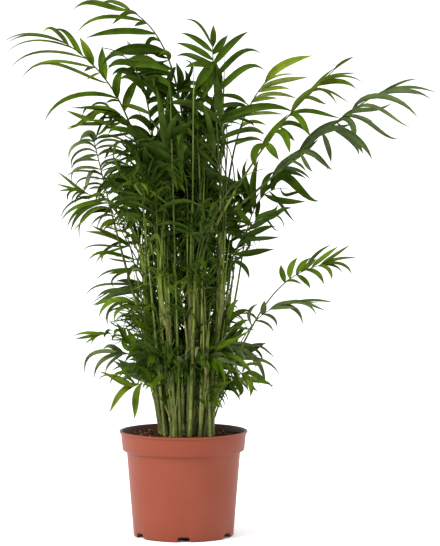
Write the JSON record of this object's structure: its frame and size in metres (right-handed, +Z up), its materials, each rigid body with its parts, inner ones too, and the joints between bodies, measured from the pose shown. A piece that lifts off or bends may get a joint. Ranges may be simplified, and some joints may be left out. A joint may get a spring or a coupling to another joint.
{
  "type": "potted parlour palm",
  "caption": "Indoor palm: a clump of slender green ringed stems with arching pinnate fronds, in a round tapered plastic nursery pot with a rim band, filled with dark potting mix.",
  "frame": {"origin": "centre of the pot's underside, at the level it stands on", "axes": "+Z up the plant; +X towards the side of its longest frond; -Y towards the front it is seen from"},
  "size_m": [0.8132, 0.4982, 1.0031],
  "materials": {
    "pot": "moulded, terracotta colour, slightly glossy",
    "soil": "crumbly potting mix with pale grains",
    "stem": "smooth ringed green cane",
    "frond": "satin leaf"
  },
  "bodies": {
    "root": {"pot": "pot", "soil": "soil", "stem_01": "stem", "stem_02": "stem", "stem_03": "stem", "stem_04": "stem", "stem_05": "stem", "stem_06": "stem", "stem_07": "stem", "stem_08": "stem", "stem_09": "stem", "stem_10": "stem", "stem_11": "stem", "stem_12": "stem", "stem_13": "stem", "stem_14": "stem", "frond_01": "frond", "frond_02": "frond", "frond_03": "frond", "frond_04": "frond", "frond_05": "frond", "frond_06": "frond", "frond_07": "frond", "frond_08": "frond", "frond_09": "frond", "frond_10": "frond", "frond_11": "frond", "frond_12": "frond", "frond_13": "frond", "frond_14": "frond", "frond_15": "frond", "frond_16": "frond", "frond_17": "frond", "frond_18": "frond", "frond_19": "frond", "frond_20": "frond", "frond_21": "frond", "frond_22": "frond", "frond_23": "frond", "frond_24": "frond", "frond_25": "frond", "frond_26": "frond", "frond_27": "frond", "frond_28": "frond", "frond_29": "frond", "frond_30": "frond", "frond_31": "frond", "frond_32": "frond", "frond_33": "frond", "frond_34": "frond", "frond_35": "frond", "frond_36": "frond", "frond_37": "frond", "frond_38": "frond", "frond_39": "frond", "frond_40": "frond", "frond_41": "frond", "frond_42": "frond", "frond_43": "frond", "frond_44": "frond"}
  },
  "joints": []
}
